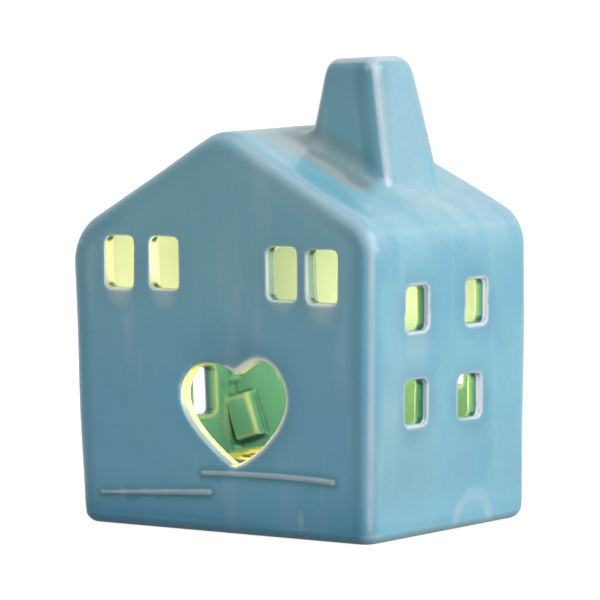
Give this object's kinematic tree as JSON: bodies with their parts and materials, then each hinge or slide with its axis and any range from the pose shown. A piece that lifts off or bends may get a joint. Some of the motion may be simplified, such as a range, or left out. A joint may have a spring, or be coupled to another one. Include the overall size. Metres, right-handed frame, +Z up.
{
  "type": "tealight house",
  "caption": "Small glazed ceramic house with a gable roof, chimney flue, windows and a heart-shaped opening, which stands over a tealight candle and lifts off it.",
  "frame": {"origin": "middle of the base of the whole part, on the surface that it stands on", "axes": "+Z up, -Y towards the gable front with the heart, +X towards the side that the chimney stands on"},
  "size_m": [0.0916, 0.0624, 0.1104],
  "materials": {
    "blue_glaze": "gloss",
    "cup_aluminium": "satin",
    "candle_wax": "satin",
    "wick_cotton": "matte",
    "tab_tin": "satin"
  },
  "bodies": {
    "candle": {"tealight_cup": "cup_aluminium", "wax": "candle_wax", "wick": "wick_cotton", "wick_tab": "tab_tin"},
    "house": {"house_shell": "blue_glaze"}
  },
  "joints": [
    {"name": "house_lift", "type": "slide", "parent": "candle", "child": "house", "axis": [0, 0, 1], "range_m": [0, 0.06]}
  ]
}
